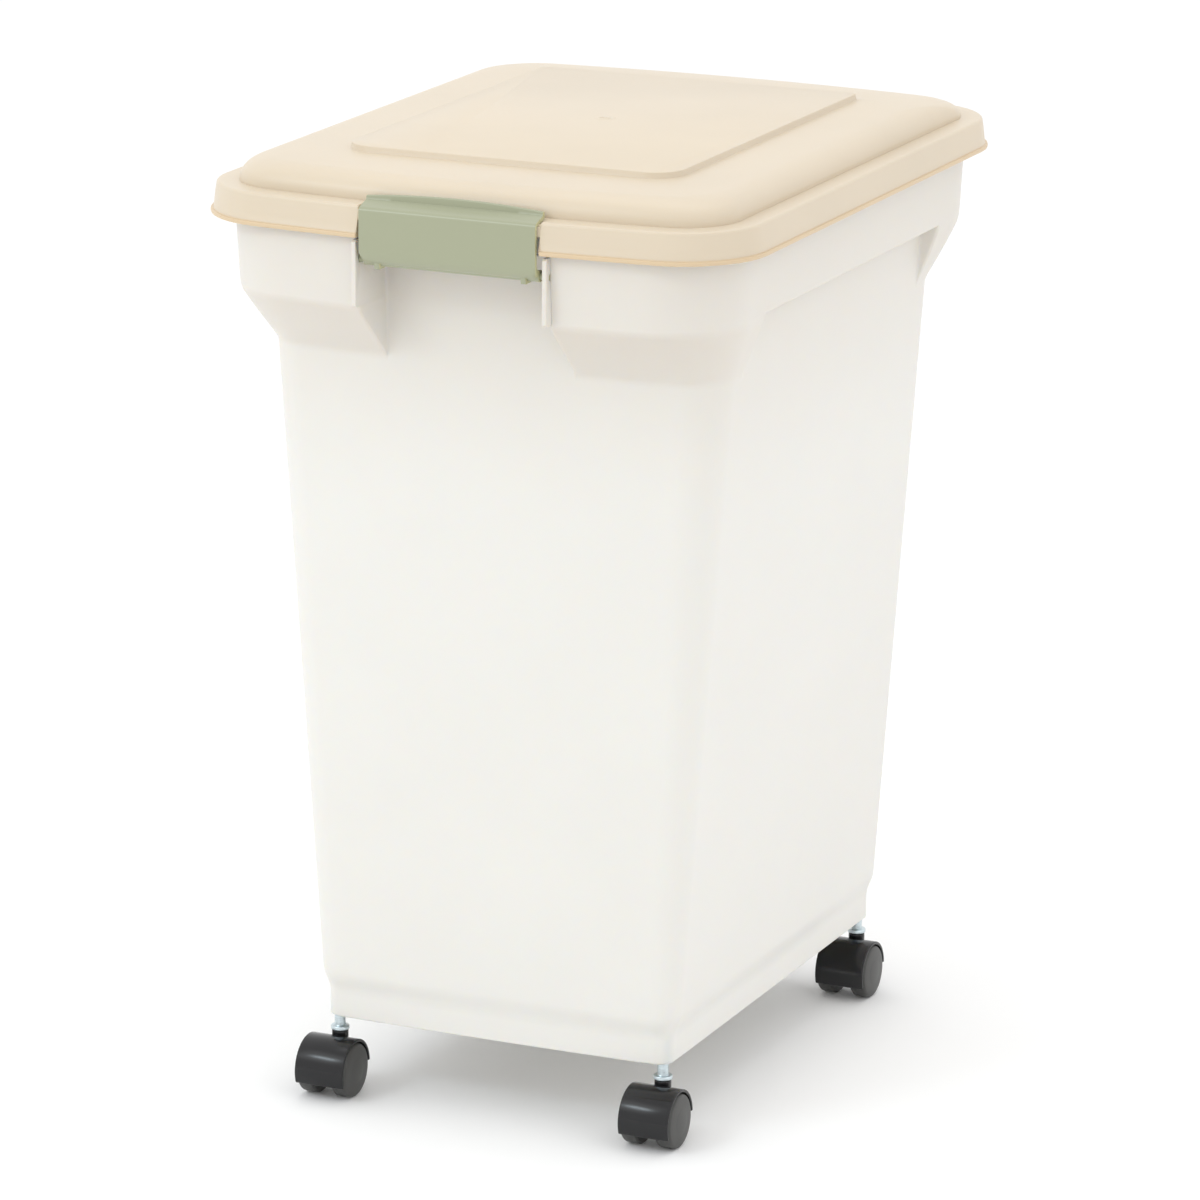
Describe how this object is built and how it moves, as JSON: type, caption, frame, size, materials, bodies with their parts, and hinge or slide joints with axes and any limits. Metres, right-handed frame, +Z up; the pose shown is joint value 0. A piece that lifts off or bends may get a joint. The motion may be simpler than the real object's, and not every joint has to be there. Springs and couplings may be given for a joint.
{
  "type": "pet food storage container",
  "caption": "Tall tapered bin with corner shoulders, hinged domed lid, seal, flip latch and swivelling twin-wheel casters.",
  "frame": {"origin": "on the floor under the middle of the container", "axes": "+Z up, -Y towards the latch, +X to the right of someone facing the latch"},
  "size_m": [0.4, 0.5334, 0.6681],
  "materials": {
    "tub": "translucent natural polypropylene, satin",
    "lid": "cream, semi-gloss",
    "latch": "sage green, semi-gloss",
    "seal": "soft foam rubber",
    "caster": "black nylon, satin",
    "caster_wheel": "black nylon, satin",
    "sleeve": "grey nylon",
    "steel": "zinc plated"
  },
  "bodies": {
    "root": {"body_tub": "tub", "hinge_pin_left": "steel", "hinge_pin_right": "steel", "front_left_stem": "steel", "front_left_grip_ring": "sleeve", "front_right_stem": "steel", "front_right_grip_ring": "sleeve", "rear_left_stem": "steel", "rear_left_grip_ring": "sleeve", "rear_right_stem": "steel", "rear_right_grip_ring": "sleeve"},
    "lid": {"lid_shell": "lid", "lid_seal": "seal"},
    "latch": {"front_latch": "latch"},
    "front_left_caster": {"front_left_hood": "caster", "front_left_axle": "steel"},
    "front_left_left_wheel": {"front_left_wheel_left": "caster_wheel"},
    "front_left_right_wheel": {"front_left_wheel_right": "caster_wheel"},
    "front_right_caster": {"front_right_hood": "caster", "front_right_axle": "steel"},
    "front_right_left_wheel": {"front_right_wheel_left": "caster_wheel"},
    "front_right_right_wheel": {"front_right_wheel_right": "caster_wheel"},
    "rear_left_caster": {"rear_left_hood": "caster", "rear_left_axle": "steel"},
    "rear_left_left_wheel": {"rear_left_wheel_left": "caster_wheel"},
    "rear_left_right_wheel": {"rear_left_wheel_right": "caster_wheel"},
    "rear_right_caster": {"rear_right_hood": "caster", "rear_right_axle": "steel"},
    "rear_right_left_wheel": {"rear_right_wheel_left": "caster_wheel"},
    "rear_right_right_wheel": {"rear_right_wheel_right": "caster_wheel"}
  },
  "joints": [
    {"name": "lid_hinge", "type": "hinge", "parent": "root", "child": "lid", "pos_m": [0, 0.26113, 0.61738], "axis": [-1, 0, 0], "range_deg": [0, 105]},
    {"name": "latch_pivot", "type": "hinge", "parent": "root", "child": "latch", "pos_m": [0, -0.25683, 0.61018], "axis": [1, 0, 0], "range_deg": [0, 110]},
    {"name": "front_left_swivel", "type": "hinge", "parent": "root", "child": "front_left_caster", "pos_m": [-0.1226, -0.18183, 0.0431], "axis": [0, 0, 1], "continuous": true},
    {"name": "front_left_left_spin", "type": "hinge", "parent": "front_left_caster", "child": "front_left_left_wheel", "pos_m": [-0.1226, -0.19433, 0.019], "axis": [1, 0, 0], "continuous": true},
    {"name": "front_left_right_spin", "type": "hinge", "parent": "front_left_caster", "child": "front_left_right_wheel", "pos_m": [-0.1226, -0.19433, 0.019], "axis": [1, 0, 0], "continuous": true},
    {"name": "front_right_swivel", "type": "hinge", "parent": "root", "child": "front_right_caster", "pos_m": [0.1226, -0.18183, 0.0431], "axis": [0, 0, 1], "continuous": true},
    {"name": "front_right_left_spin", "type": "hinge", "parent": "front_right_caster", "child": "front_right_left_wheel", "pos_m": [0.1226, -0.19433, 0.019], "axis": [1, 0, 0], "continuous": true},
    {"name": "front_right_right_spin", "type": "hinge", "parent": "front_right_caster", "child": "front_right_right_wheel", "pos_m": [0.1226, -0.19433, 0.019], "axis": [1, 0, 0], "continuous": true},
    {"name": "rear_left_swivel", "type": "hinge", "parent": "root", "child": "rear_left_caster", "pos_m": [-0.1226, 0.17117, 0.0431], "axis": [0, 0, 1], "continuous": true},
    {"name": "rear_left_left_spin", "type": "hinge", "parent": "rear_left_caster", "child": "rear_left_left_wheel", "pos_m": [-0.1226, 0.15867, 0.019], "axis": [1, 0, 0], "continuous": true},
    {"name": "rear_left_right_spin", "type": "hinge", "parent": "rear_left_caster", "child": "rear_left_right_wheel", "pos_m": [-0.1226, 0.15867, 0.019], "axis": [1, 0, 0], "continuous": true},
    {"name": "rear_right_swivel", "type": "hinge", "parent": "root", "child": "rear_right_caster", "pos_m": [0.1226, 0.17117, 0.0431], "axis": [0, 0, 1], "continuous": true},
    {"name": "rear_right_left_spin", "type": "hinge", "parent": "rear_right_caster", "child": "rear_right_left_wheel", "pos_m": [0.1226, 0.15867, 0.019], "axis": [1, 0, 0], "continuous": true},
    {"name": "rear_right_right_spin", "type": "hinge", "parent": "rear_right_caster", "child": "rear_right_right_wheel", "pos_m": [0.1226, 0.15867, 0.019], "axis": [1, 0, 0], "continuous": true}
  ]
}
